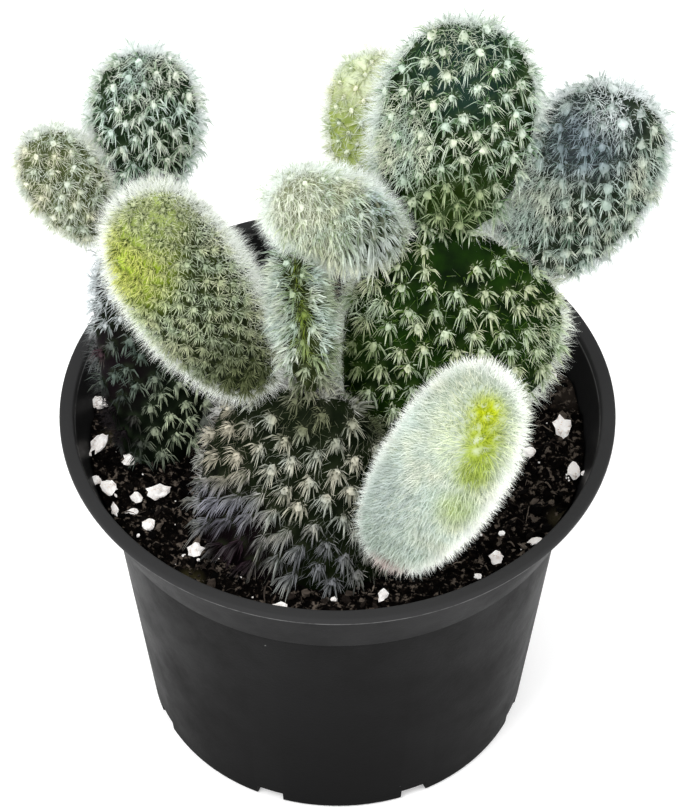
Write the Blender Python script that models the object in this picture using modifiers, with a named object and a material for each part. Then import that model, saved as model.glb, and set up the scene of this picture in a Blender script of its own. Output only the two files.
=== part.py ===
"""Bunny ears cactus in a black plastic nursery pot.

Everything is in metres. The pot stands on z = 0 with its axis on the Z axis, and the plant's
best side faces -Y. Each pad of the cactus is a flattened, egg-shaped joint with a lattice of
areoles, and every areole carries a pointed tuft of wool and glochids.
"""
import math

import bmesh
import bpy
import numpy as np
from mathutils import Matrix, Vector, noise
from mathutils.bvhtree import BVHTree

# Clearance between pieces that touch
GAP = 0.0003

# Pot
RIM_RADIUS = 0.0450
POT_HEIGHT = 0.0643
LIP_DEPTH = 0.0013
LIP_WIDTH = 0.0019
COLLAR_DEPTH = 0.0126
COLLAR_RADIUS = 0.0397
SHOULDER_RADIUS = 0.0377
FOOT_RADIUS = 0.0311
WALL = 0.0011
FLOOR = 0.0012
TURN_STEPS = 64

# Drain slots in the pot's lower corner
SLOTS = 8
SLOT_WIDTH = 0.0046
SLOT_HEIGHT = 0.0022
SLOT_INNER = 0.0245
SLOT_OUTER = 0.0340
FIRST_SLOT = math.radians(-111.0)

# Potting mix
SOIL_LEVEL = 0.0573
SOIL_RADIUS = 0.0401
SOIL_RINGS = 11
SOIL_SPOKES = 56
CRUMB_HEIGHT = 0.0011
CRUMB_PITCH = 0.0023
PERLITE_SLOPE = 0.0014
PERLITE_RISE = 1.7
# x, y and radius of each white lump of perlite that stands out of the mix
PERLITE = [
    (-0.0380, 0.0074, 0.0014), (-0.0378, -0.0012, 0.0017), (-0.0339, -0.0047, 0.0011),
    (-0.0378, -0.0093, 0.0010), (-0.0362, -0.0120, 0.0013), (-0.0323, -0.0132, 0.0011),
    (-0.0289, -0.0125, 0.0016), (-0.0302, -0.0196, 0.0012), (-0.0226, -0.0251, 0.0012),
    (-0.0092, -0.0360, 0.0009), (0.0072, -0.0345, 0.0009), (0.0361, 0.0023, 0.0016),
    (0.0314, -0.0036, 0.0010), (0.0370, -0.0069, 0.0013), (0.0300, -0.0228, 0.0010),
    (0.0250, -0.0248, 0.0010), (0.0100, 0.0260, 0.0014), (-0.0120, 0.0310, 0.0012),
    (0.0260, 0.0220, 0.0013), (-0.0010, 0.0150, 0.0011), (-0.0270, 0.0220, 0.0012),
]

# Wool tufts: the share of a cell that wool covers, its swelling and its least height
TUFT_SPREAD = 0.44
TUFT_SWELL = 0.18
TUFT_LEAST = 0.00035
# Share of the free room beside a neighbour that a tuft may fill
TUFT_ROOM = 0.42
BARE_ABOVE_SOIL = 0.0026
HOLE_MARGIN = 0.00045


def clear_scene():
    for thing in list(bpy.data.objects):
        bpy.data.objects.remove(thing, do_unlink=True)


def new_collection(name):
    made = bpy.data.collections.new(name)
    bpy.context.scene.collection.children.link(made)
    return made


def new_material(name, color, roughness):
    made = bpy.data.materials.new(name)
    made.use_nodes = True
    shader = made.node_tree.nodes["Principled BSDF"]
    shader.inputs["Base Color"].default_value = (*color, 1.0)
    shader.inputs["Roughness"].default_value = roughness
    return made


def turned(name, profile, steps, home):
    """A solid of revolution about Z, from a profile of radius and height."""
    mesh = bpy.data.meshes.new(name)
    edges = [(i, i + 1) for i in range(len(profile) - 1)]
    mesh.from_pydata([(radius, 0.0, height) for radius, height in profile], edges, [])
    made = bpy.data.objects.new(name, mesh)
    home.objects.link(made)
    screw = made.modifiers.new("turn", "SCREW")
    screw.axis = "Z"
    screw.angle = 2.0 * math.pi
    screw.steps = steps
    screw.render_steps = steps
    screw.use_merge_vertices = True
    screw.merge_threshold = 0.00001
    return made


def cut(target, cutter):
    cutter.hide_render = True
    cutter.display_type = "WIRE"
    step = target.modifiers.new("cut_" + cutter.name, "BOOLEAN")
    step.operation = "DIFFERENCE"
    step.solver = "EXACT"
    step.object = cutter


# Pot

def make_pot(parts, cutters):
    top = POT_HEIGHT
    collar = top - COLLAR_DEPTH
    edge = 0.0004
    profile = [
        (0.0, FLOOR),
        (FOOT_RADIUS - WALL - 0.0006, FLOOR),
        (FOOT_RADIUS - WALL, FLOOR + 0.0008),
        (SHOULDER_RADIUS - WALL, collar - 0.0009),
        (COLLAR_RADIUS - WALL, collar + 0.0001),
        (RIM_RADIUS - LIP_WIDTH - edge, top - edge),
        (RIM_RADIUS - LIP_WIDTH, top),
        (RIM_RADIUS - edge, top),
        (RIM_RADIUS, top - edge),
        (RIM_RADIUS, top - LIP_DEPTH + edge),
        (RIM_RADIUS - edge, top - LIP_DEPTH),
        (RIM_RADIUS - LIP_WIDTH + 0.0005, top - LIP_DEPTH),
        (COLLAR_RADIUS, collar),
        (SHOULDER_RADIUS, collar - 0.0005),
        (FOOT_RADIUS + 0.0002, 0.0016),
        (FOOT_RADIUS - 0.0001, 0.0005),
        (FOOT_RADIUS - 0.0007, 0.0),
        (0.0, 0.0),
    ]
    pot = turned("pot", profile, TURN_STEPS, parts)
    for index in range(SLOTS):
        angle = FIRST_SLOT + index * 2.0 * math.pi / SLOTS
        cut(pot, drain_slot(index, angle, cutters))
    pot.data.materials.append(new_material("pot", (0.028, 0.028, 0.030), 0.42))


def drain_slot(index, angle, cutters):
    """A bar that runs outwards through the pot's lower corner."""
    mesh = bpy.data.meshes.new("slot")
    bar = bmesh.new()
    bmesh.ops.create_cube(bar, size=1.0)
    bar.to_mesh(mesh)
    bar.free()
    slot = bpy.data.objects.new("slot_%d" % index, mesh)
    reach = (SLOT_INNER + SLOT_OUTER) / 2.0
    slot.location = (reach * math.cos(angle), reach * math.sin(angle), 0.0)
    slot.rotation_euler.z = angle
    slot.scale = (SLOT_OUTER - SLOT_INNER, SLOT_WIDTH, 2.0 * SLOT_HEIGHT)
    cutters.objects.link(slot)
    return slot


# Potting mix

def soil_height(x, y):
    """Crumbly level of the potting mix, with the lumps of perlite raised out of it."""
    place = Vector((x, y, 0.0))
    height = SOIL_LEVEL + CRUMB_HEIGHT * noise.noise(place / CRUMB_PITCH)
    height += CRUMB_HEIGHT * noise.noise(place / (4.0 * CRUMB_PITCH))
    for lump_x, lump_y, size in PERLITE:
        away = math.hypot(x - lump_x, y - lump_y)
        near = max(0.0, 1.0 - away / (size + PERLITE_SLOPE))
        height += PERLITE_RISE * size * near
    return height


def make_soil(parts):
    """A turned plug that fits the pot, with its top raised to the mix's crumbly level."""
    collar = POT_HEIGHT - COLLAR_DEPTH
    clear = WALL + GAP + 0.0001
    rings = [SOIL_RADIUS * (i / SOIL_RINGS) ** 0.9 for i in range(SOIL_RINGS + 1)]
    profile = [(radius, SOIL_LEVEL) for radius in rings]
    profile += [
        (COLLAR_RADIUS - clear, collar + 0.0002),
        (SHOULDER_RADIUS - clear, collar - 0.0010),
        (FOOT_RADIUS - clear, FLOOR + GAP + 0.0009),
        (FOOT_RADIUS - clear - 0.0008, FLOOR + GAP + 0.0001),
        (0.0, FLOOR + GAP + 0.0001),
    ]
    soil = turned("soil", profile, SOIL_SPOKES, parts)
    graph = bpy.context.evaluated_depsgraph_get()
    soil.data = bpy.data.meshes.new_from_object(soil.evaluated_get(graph))
    soil.modifiers.clear()
    for vertex in soil.data.vertices:
        radius = math.hypot(vertex.co.x, vertex.co.y)
        if vertex.co.z > SOIL_LEVEL - 0.0001:
            rim = radius > SOIL_RADIUS - 0.0001
            vertex.co.z = SOIL_LEVEL if rim else soil_height(vertex.co.x, vertex.co.y)
    soil.data.materials.append(new_material("soil", (0.030, 0.022, 0.017), 0.95))
    return soil


# Pads

class Pad:
    """One pad, with its root at the origin of its own frame.

    Local Z runs from root to tip, local X is the width and local -Y is the front face.
    """

    def __init__(self, name, root, tip, face, width, thick, columns, rows, color,
                 taper=0.3, square=0.8, bow=0.0, tuft=0.0017, droop=0.5):
        self.name = name
        self.half_width = width / 2.0
        self.half_thick = thick / 2.0
        self.columns = columns
        self.rows = rows
        self.color = color
        self.taper = taper
        self.square = square
        self.bow = bow
        self.tuft = tuft
        self.droop = droop
        along = Vector(tip) - Vector(root)
        self.length = along.length
        along.normalize()
        front = Vector(face)
        front = (front - along * front.dot(along)).normalized()
        across = along.cross(front)
        turn = Matrix((across, -front, along)).transposed().to_4x4()
        self.matrix = Matrix.Translation(root) @ turn

    def skin(self, climb, turn, grow):
        """A point of the skin: climb runs 0 to pi from root to tip, turn goes round."""
        rise = (1.0 - math.cos(climb)) / 2.0
        neck = self.taper * (1.0 - rise) ** 2
        shape = max(0.0, math.sin(climb)) ** self.square
        wide = (self.half_width + grow) * shape * (1.0 - neck)
        deep = (self.half_thick + grow) * shape * (1.0 - 0.5 * neck)
        sway = self.bow * 4.0 * rise * (1.0 - rise)
        return Vector((
            wide * math.cos(turn) + sway,
            deep * math.sin(turn),
            (self.length + 2.0 * grow) * rise - grow,
        ))

    def climbs(self):
        """Climbs of the lattice's rows, evenly spaced along the outline."""
        climb = np.linspace(0.0, math.pi, 181)
        rise = self.length * (1.0 - np.cos(climb)) / 2.0
        half = self.half_width * np.sin(climb) ** self.square
        steps = np.hypot(np.diff(rise), np.diff(half))
        run = np.concatenate(([0.0], np.cumsum(steps)))
        wanted = np.linspace(0.0, run[-1], self.rows + 1)
        return [float(value) for value in np.interp(wanted, run, climb)]

    def turns(self, row):
        """Turns of one row's points, closer at the thin edges and half a cell on per row."""
        turn = np.linspace(0.0, 2.0 * math.pi, 361)
        pace = np.hypot(self.half_width * np.sin(turn), self.half_thick * np.cos(turn))
        pace = pace + 0.6 * pace.mean()
        path = np.concatenate(([0.0], np.cumsum((pace[1:] + pace[:-1]) / 2.0)))
        wanted = ((np.arange(self.columns) + 0.5 * row) / self.columns) % 1.0
        return [float(value) for value in np.interp(wanted * path[-1], path, turn)]

    def shell(self, grow=0.0):
        """The plain skin as a closed mesh of four-sided cells in a diagonal lattice."""
        sculpt = bmesh.new()
        root = sculpt.verts.new(self.skin(0.0, 0.0, grow))
        rings = []
        for row, climb in list(enumerate(self.climbs()))[1:-1]:
            turns = self.turns(row)
            rings.append([sculpt.verts.new(self.skin(climb, turn, grow)) for turn in turns])
        tip = sculpt.verts.new(self.skin(math.pi, 0.0, grow))
        count = self.columns
        for j in range(0, count, 2):
            sculpt.faces.new((root, rings[0][(j + 2) % count], rings[0][j + 1], rings[0][j]))
            sculpt.faces.new((tip, rings[-1][j], rings[-1][j + 1], rings[-1][(j + 2) % count]))
        for low, high in zip(rings, rings[1:]):
            for j in range(count):
                sculpt.faces.new((low[j], low[(j + 1) % count], high[j], high[j - 1]))
        sculpt.normal_update()
        return sculpt

    def finish(self, sculpt, name, home):
        """Put the sculpted mesh in an object that stands at the pad's root."""
        mesh = bpy.data.meshes.new(name)
        bmesh.ops.triangulate(sculpt, faces=sculpt.faces, quad_method="FIXED")
        sculpt.to_mesh(mesh)
        sculpt.free()
        made = bpy.data.objects.new(name, mesh)
        made.matrix_world = self.matrix
        home.objects.link(made)
        return made

    def grow_tufts(self, sculpt, others):
        """Raise a tuft in every cell that is above the soil and clear of other pads."""
        down = self.matrix.to_3x3().inverted() @ Vector((0.0, 0.0, -1.0))
        for cell in list(sculpt.faces):
            middle = cell.calc_center_median()
            place = self.matrix @ middle
            free = others.find_nearest(place)[3] - GAP
            height = min(self.tuft, TUFT_ROOM * free)
            bare = soil_height(place.x, place.y) + BARE_ABOVE_SOIL
            if place.z > bare and height > TUFT_LEAST:
                raise_tuft(sculpt, cell, middle, height, down * (self.droop * height))

    def make(self, others, parts, plant):
        sculpt = self.shell()
        self.grow_tufts(sculpt, others)
        made = self.finish(sculpt, self.name, parts)
        made.parent = plant
        made.data.materials.append(new_material(self.name, self.color, 0.7))


def raise_tuft(sculpt, cell, middle, height, hang):
    """Shrink the cell about its middle and draw its centre out to a hanging point."""
    normal = cell.normal.copy()
    bmesh.ops.inset_individual(sculpt, faces=[cell], thickness=0.0, depth=0.0)
    for corner in cell.verts:
        corner.co = middle.lerp(corner.co, TUFT_SPREAD) + normal * (TUFT_SWELL * height)
    point = bmesh.ops.poke(sculpt, faces=[cell])["verts"][0]
    point.co = middle + normal * height + hang


def skins_beside(pads, skipped):
    """One search tree over the plain skins of all the pads but one."""
    points = []
    faces = []
    for pad in pads:
        if pad is not skipped:
            sculpt = pad.shell()
            sculpt.verts.index_update()
            first = len(points)
            faces += [[first + v.index for v in face.verts] for face in sculpt.faces]
            points += [pad.matrix @ v.co for v in sculpt.verts]
            sculpt.free()
    return BVHTree.FromPolygons(points, faces)


def list_pads():
    """Two pads stand in the mix, and each of the others grows from the edge of one below."""
    return [
        Pad("pad_front", root=(-0.0076, -0.0310, 0.0426), tip=(-0.0059, -0.0140, 0.0845),
            face=(-0.30, -1.0, 0.4), width=0.0320, thick=0.0125, columns=14, rows=9,
            color=(0.20, 0.24, 0.15), taper=0.05, square=0.62, tuft=0.0022, droop=0.9),
        Pad("pad_main", root=(0.0060, -0.0150, 0.0668), tip=(0.0240, 0.0030, 0.1006),
            face=(0.05, -1.0, 0.4), width=0.0380, thick=0.0110, columns=14, rows=10,
            color=(0.13, 0.22, 0.08), square=0.7, bow=0.0025, tuft=0.0019, droop=0.7),
        Pad("pad_left_ear", root=(-0.0119, -0.0142, 0.0848), tip=(-0.0312, -0.0020, 0.1156),
            face=(-0.15, -1.0, 0.45), width=0.0205, thick=0.0120, columns=12, rows=10,
            color=(0.30, 0.37, 0.17), taper=0.25, bow=-0.0010),
        Pad("pad_edge_on", root=(-0.0040, -0.0154, 0.0853), tip=(-0.0073, -0.0054, 0.1071),
            face=(-1.0, -0.1, 0.0), width=0.0150, thick=0.0083, columns=8, rows=7,
            color=(0.24, 0.33, 0.16), taper=0.35, square=0.9, tuft=0.0014),
        Pad("pad_top_ear", root=(0.0161, 0.0040, 0.1034), tip=(0.0210, 0.0150, 0.1358),
            face=(0.0, -1.0, 0.4), width=0.0250, thick=0.0100, columns=12, rows=10,
            color=(0.13, 0.23, 0.11), taper=0.4),
        Pad("pad_right_ear", root=(0.0314, 0.0041, 0.0945), tip=(0.0472, 0.0110, 0.1246),
            face=(-0.1, -1.0, 0.4), width=0.0215, thick=0.0100, columns=12, rows=9,
            color=(0.14, 0.22, 0.15)),
        Pad("pad_small_front", root=(0.0096, 0.0006, 0.1014), tip=(-0.0098, -0.0046, 0.1190),
            face=(0.0, -1.0, 0.7), width=0.0140, thick=0.0090, columns=10, rows=7,
            color=(0.45, 0.49, 0.36), taper=0.2, square=0.85),
        Pad("pad_small_rear", root=(0.0102, 0.0054, 0.0956), tip=(0.0049, 0.0226, 0.1220),
            face=(-0.2, -1.0, 0.5), width=0.0180, thick=0.0080, columns=8, rows=8,
            color=(0.36, 0.46, 0.16), square=0.85),
        Pad("pad_new_wool", root=(0.0075, -0.0330, 0.0666), tip=(0.0252, -0.0255, 0.0993),
            face=(-0.7, -1.0, 0.2), width=0.0195, thick=0.0125, columns=12, rows=9,
            color=(0.62, 0.66, 0.52), taper=0.05, square=0.68),
        Pad("pad_rear_base", root=(-0.0298, -0.0070, 0.0445), tip=(-0.0297, 0.0120, 0.0984),
            face=(0.0, -1.0, 0.3), width=0.0220, thick=0.0110, columns=10, rows=12,
            color=(0.10, 0.17, 0.10), square=0.85),
        Pad("pad_rear_top", root=(-0.0301, 0.0128, 0.0989), tip=(-0.0304, 0.0200, 0.1250),
            face=(0.0, -1.0, 0.4), width=0.0183, thick=0.0090, columns=10, rows=8,
            color=(0.12, 0.21, 0.13), taper=0.35, square=0.85),
        Pad("pad_rear_small", root=(-0.0373, 0.0095, 0.0942), tip=(-0.0473, 0.0130, 0.1137),
            face=(0.1, -1.0, 0.4), width=0.0135, thick=0.0080, columns=8, rows=7,
            color=(0.22, 0.28, 0.16), square=0.85),
    ]


def make_plant(soil, parts, cutters):
    plant = bpy.data.objects.new("plant", None)
    parts.objects.link(plant)
    pads = list_pads()
    for pad in pads:
        pad.make(skins_beside(pads, pad), parts, plant)
        if pad.matrix.translation.z < SOIL_LEVEL:
            hole = pad.finish(pad.shell(HOLE_MARGIN), pad.name + "_hole", cutters)
            cut(soil, hole)


def main():
    clear_scene()
    parts = new_collection("bunny_ears_cactus")
    cutters = new_collection("cutters")
    make_pot(parts, cutters)
    soil = make_soil(parts)
    make_plant(soil, parts, cutters)


main()
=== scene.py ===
"""Looks of the potted bunny ears cactus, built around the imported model.

Everything is in the frame of the CAD model: the pot stands on z = 0 with its axis on Z, and the
plant's best side faces -Y. Lengths are in metres, apart from those in PADS, SOIL_PATCHES and
PERLITE, which are in millimetres until they are multiplied by MM.
"""

from math import cos, hypot, pi, radians, sin, sqrt, tau

import bmesh
import bpy
import numpy as np
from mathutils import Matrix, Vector, noise


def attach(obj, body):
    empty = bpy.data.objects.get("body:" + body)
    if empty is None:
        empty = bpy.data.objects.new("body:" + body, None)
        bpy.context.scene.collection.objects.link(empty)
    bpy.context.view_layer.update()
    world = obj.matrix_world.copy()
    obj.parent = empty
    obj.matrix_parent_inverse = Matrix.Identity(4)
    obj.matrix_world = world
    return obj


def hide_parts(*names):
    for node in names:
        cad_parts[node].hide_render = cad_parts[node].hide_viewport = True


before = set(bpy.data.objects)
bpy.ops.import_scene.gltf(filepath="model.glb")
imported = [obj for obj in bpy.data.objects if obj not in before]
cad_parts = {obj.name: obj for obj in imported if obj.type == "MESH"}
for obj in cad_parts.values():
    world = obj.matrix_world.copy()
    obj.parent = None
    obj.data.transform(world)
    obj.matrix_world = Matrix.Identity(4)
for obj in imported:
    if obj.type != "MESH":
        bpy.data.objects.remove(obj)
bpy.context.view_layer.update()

MM = 0.001
SEED = 20

# Pot
RIM_RADIUS = 0.0450
POT_HEIGHT = 0.0643
LIP_DEPTH = 0.0013
LIP_WIDTH = 0.0019
LIP_ROUND = 0.0004
COLLAR_DEPTH = 0.0126
COLLAR_RADIUS = 0.0397
SHOULDER_RADIUS = 0.0377
FOOT_RADIUS = 0.0311
WALL = 0.0011
FLOOR = 0.0012
POT_STEPS = 192
SLOTS = 8
SLOT_WIDTH = 0.0046
SLOT_HEIGHT = 0.0022
SLOT_INNER = 0.0245
SLOT_OUTER = 0.0340
FIRST_SLOT = radians(-111.0)

# Potting mix
SOIL_LEVEL = 0.0573
SOIL_RADIUS = 0.0401
SOIL_GAP = 0.0004
SOIL_RINGS = 64
SOIL_SPOKES = 160
CRUMBS = 2300
FIBRES = 300
FIBRE_JOINTS = 7
GRIT = 180
# Rise and size of the mix's clods, crumbs and grains
SOIL_NOISE = [(0.0011, 0.0092), (0.0011, 0.0023), (0.0008, 0.0010)]
# x, y, z, inner and outer reach and colour of each brown or mossy patch of peat
SOIL_PATCHES = [
    (37.5, 10, 57.3, 1, 5, (0.028, 0.022, 0.018)),
    (-36.5, 0.5, 57.3, 1, 3, (0.03, 0.026, 0.012)),
    (-23.5, -30.5, 57.3, 1, 3, (0.032, 0.028, 0.012)),
    (36, -17.5, 57.3, 1, 3, (0.03, 0.025, 0.014)),
]
# x, y, length and width and then the heading in degrees of each lump of perlite
PERLITE = [
    (-38.8, 7.2, 2.8, 2.4, 20), (-38.8, -1.6, 4.8, 2.4, 65), (-33.7, -5.3, 2.4, 2.1, 0),
    (-39, -9.6, 1.9, 1.6, 80), (-36.8, -11.8, 3.2, 2.5, 120), (-32.3, -13.6, 2.6, 1.8, 110),
    (-29, -12.5, 4.2, 2.3, 15), (-30.2, -19.8, 2.6, 2.1, 60), (-22.6, -25.1, 2.7, 2.3, 30),
    (-9.2, -36.2, 2.4, 1.3, 0), (7.2, -34, 2.5, 1.5, 60), (36.6, 1.8, 4.2, 3, 100),
    (31, -4.5, 2.4, 1.9, 10), (38.1, -7.6, 3.2, 2.4, 90), (31.7, -22.8, 2.5, 1.2, 20),
    (25.4, -26.2, 2.6, 2.1, 30), (10, 26, 2.7, 2.1, 0), (-12, 31, 2.4, 1.9, 50), (26, 22, 2.6, 2, 70),
    (-1, 15, 2.2, 1.8, 0), (-27, 22, 2.4, 1.8, 40), (-35.8, -16.3, 2.8, 1.2, 100),
    (-32.8, -16.3, 2, 1.2, 15), (-0.6, -34.5, 1.2, 1, 0), (35.5, 13, 1.2, 1, 0),
    (26.2, -21.6, 1.1, 0.9, 0), (39.8, -8.3, 1.2, 0.9, 0), (22.3, -30, 1.2, 1, 0)
]

# Camera, fitted to the rim ellipse and the pot's sides
IMAGE_WIDTH = 679
SENSOR = 36.0
LENS_PX = 5564.0
VIEW_DISTANCE = 0.900
VIEW_HEIGHT_ANGLE = radians(47.6)
AIM_PX = (-2.0, -4.1)

# Pads
PAD_STEPS = 721
CELL_ROWS = 160
CELL_COLUMNS = 240
SKIN_ROW = 0.00095
SKIN_COLUMN = 0.00110
# How deep hairs start in the skin, and how far above the mix the first ones grow
HAIR_SINK = 0.0001
HALO_CLEAR = 0.002
COAT_CLEAR = 0.001
# Painted shade of a hair at its root, at its bend and at its tip: dark at the root,
# where the hairs would shade one another
SHADES = (0.22, 0.62, 0.95)
# Tints of the wool's cooler and warmer parts
COOL = (0.95, 1.00, 1.02)
WARM = (1.03, 0.98, 0.92)
# Painted glow on the pads' margins, which stands in for light that comes through the thin wool
GLOW = 0.16

DOWN = np.array([0.0, 0.0, -1.0])
GOLDEN = (3.0 - sqrt(5.0)) / 2.0
THIRDS = (0.0, tau / 3.0, 2.0 * tau / 3.0)


# Meshes from arrays

def placed(name, data):
    """A new object in the scene."""
    thing = bpy.data.objects.new(name, data)
    bpy.context.scene.collection.objects.link(thing)
    return thing


def adopt(piece, material):
    """Gives a piece its one material, on the part's one body."""
    piece.data.materials.clear()
    piece.data.materials.append(material)
    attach(piece, "root")
    return piece


def mesh_piece(name, points, triangles, material, slot, smooth=False, **fields):
    """A new piece from arrays of points and triangles.

    Each field is a value per point that the material can read.
    """
    mesh = bpy.data.meshes.new(name)
    mesh.from_pydata(points, [], triangles, shade_flat=not smooth)
    mesh.validate()
    for field, values in fields.items():
        layer = mesh.attributes.new(field, "FLOAT", "POINT")
        layer.data.foreach_set("value", np.asarray(values, np.float32))
    return adopt(placed(name, mesh), material)


def unit(vectors):
    return vectors / np.maximum(np.linalg.norm(vectors, axis=-1, keepdims=True), 1e-12)


def apart(points, place):
    """Each point's distance from a place as a share of the place's reach."""
    *centre, reach = place
    return np.linalg.norm(points / MM - centre, axis=1) / reach


def joined(parts):
    """Puts several sets of points, triangles and point values into one."""
    first = np.cumsum([0] + [len(part[0]) for part in parts[:-1]])
    points = np.concatenate([part[0] for part in parts])
    triangles = np.concatenate([part[1] + start for part, start in zip(parts, first)])
    values = [np.concatenate(column) for column in zip(*[part[2:] for part in parts])]
    return [points, triangles] + values


def copies(pattern, count, each):
    """Triangles of a number of like things, each with so many points."""
    return (np.array(pattern)[None] + (np.arange(count) * each)[:, None, None]).reshape(-1, 3)


def wall(low, k):
    """Two triangles from side k of the three-cornered ring that starts at low to the next."""
    first = low + k
    second = low + (k + 1) % 3
    return [(first, second, second + 3), (first, second + 3, first + 3)]


def lumps(rng, level, places, axes, sizes, rough):
    """Irregular lumps: icospheres with each place's three axes and sizes, roughened at random."""
    sphere = bmesh.new()
    bmesh.ops.create_icosphere(sphere, subdivisions=level, radius=1.0)
    points = np.array([vertex.co for vertex in sphere.verts])
    triangles = [[vertex.index for vertex in face.verts] for face in sphere.faces]
    sphere.free()
    swell = 1.0 + rough * rng.uniform(-1.0, 1.0, (len(places), len(points), 1))
    local = points[None] * swell * sizes[:, None]
    world = places[:, None] + np.einsum("nvi,nij->nvj", local, axes)
    return world.reshape(-1, 3), copies(triangles, len(places), len(points)), len(points)


def tangents(normals):
    """Two unit vectors across each normal, the second one pointing down the slope."""
    down = DOWN - normals * (normals @ DOWN)[:, None]
    flat = np.linalg.norm(down, axis=1) < 0.05
    down[flat] = np.cross(normals[flat], [1.0, 0.0, 0.0])
    down = unit(down)
    return np.cross(down, normals), down


# Hairs: closed three-sided spikes

def spikes(rng, roots, tips, widths, edge, tint=0.0, bends=None):
    """Spikes with two values per point: shade, a painted shade that is dark at the root, and edge,
    nearness to a margin.

    tint lightens or darkens each hair's shade. A hair with a bend runs to its tip by that point.
    """
    along = unit(tips - roots)
    side = unit(np.cross(along, along[:, [1, 2, 0]] + 0.1))
    other = np.cross(along, side)
    corners = np.stack([side * cos(angle) + other * sin(angle) for angle in THIRDS], 1)
    corners = corners * widths[:, None, None] / 2.0
    rings = [roots] if bends is None else [roots, bends]
    points = np.concatenate([ring[:, None] + corners for ring in rings] + [tips[:, None]], 1)
    last = 3 * len(rings) - 3
    pattern = [(2, 1, 0)]
    for k in range(3):
        if last:
            pattern += wall(0, k)
        pattern += [(last + k, last + (k + 1) % 3, last + 3)]
    each = last + 4
    rise = np.repeat(SHADES, (3, last, 1))
    tone = rng.uniform(-0.12, 0.12, len(roots)) + tint
    shades = (rise[None] + tone[:, None]).ravel()
    return points.reshape(-1, 3), copies(pattern, len(roots), each), shades, np.repeat(edge, each)


def tuft_hairs(rng, roots, normals, margin, count, length, width, spread, lift, hang,
               comb=(0.0, 0.0), locks=None, droop=0.0, tint=0.0):
    """Hairs that leave each root in a cone round its normal, in some number of locks.

    spread is the root's radius, lift how upright the hairs are from 0 to 1, hang how far they
    sag, and comb how far they lean across and down the slope instead of all round. With droop
    they bend half way, and turn that far down the slope.
    """
    tufts = len(roots)
    locks = locks or count
    where = np.repeat(np.arange(tufts), count)
    lock = np.tile(np.arange(count) % locks, tufts)
    total = len(where)
    even = (np.arange(locks) + rng.random((tufts, 1))) / locks
    turns = tau * even + rng.normal(0.0, 1.4 / locks, (tufts, locks))
    reaches = np.sqrt(rng.random((tufts, locks)))
    rises = lift + (1.0 - lift) * rng.random((tufts, locks)) ** 2
    sizes = rng.uniform(0.55, 1.15, (tufts, locks)) * rng.uniform(0.80, 1.15, (tufts, 1))
    turn = turns[where, lock] + rng.normal(0.0, 0.12, total)
    reach = reaches[where, lock]
    rise = np.clip(rises[where, lock] + rng.normal(0.0, 0.05, total), 0.0, 1.0)
    normal = normals[where]
    across, down = tangents(normal)
    flat = across * (np.cos(turn) + comb[0])[:, None] + down * (np.sin(turn) + comb[1])[:, None]
    start = across * np.cos(turn)[:, None] + down * np.sin(turn)[:, None]
    start = roots[where] + start * (MM * spread * reach * rng.uniform(0.6, 1.2, total))[:, None]
    way = unit(flat * ((1.05 - rise) * (0.3 + 0.7 * reach))[:, None] + normal * rise[:, None])
    size = MM * length * sizes[where, lock] * rng.uniform(0.75, 1.05, total)
    thick = MM * width * rng.uniform(0.7, 1.2, total)
    tone = tint + rng.uniform(-0.14, 0.10, tufts)[where]
    tone = tone + rng.uniform(-0.1, 0.1, (tufts, locks))[where, lock]
    if not droop:
        tips = start + (way + 0.8 * hang * DOWN) * size[:, None]
        return spikes(rng, start, tips, thick, margin[where], tone)
    bends = start + way * (0.5 * size)[:, None]
    fall = unit(way * (1.0 - droop) + down * droop)
    tips = bends + (fall + 0.8 * hang * DOWN) * (0.5 * size)[:, None]
    return spikes(rng, start, tips, thick, margin[where], tone, bends)


# Node materials

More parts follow.
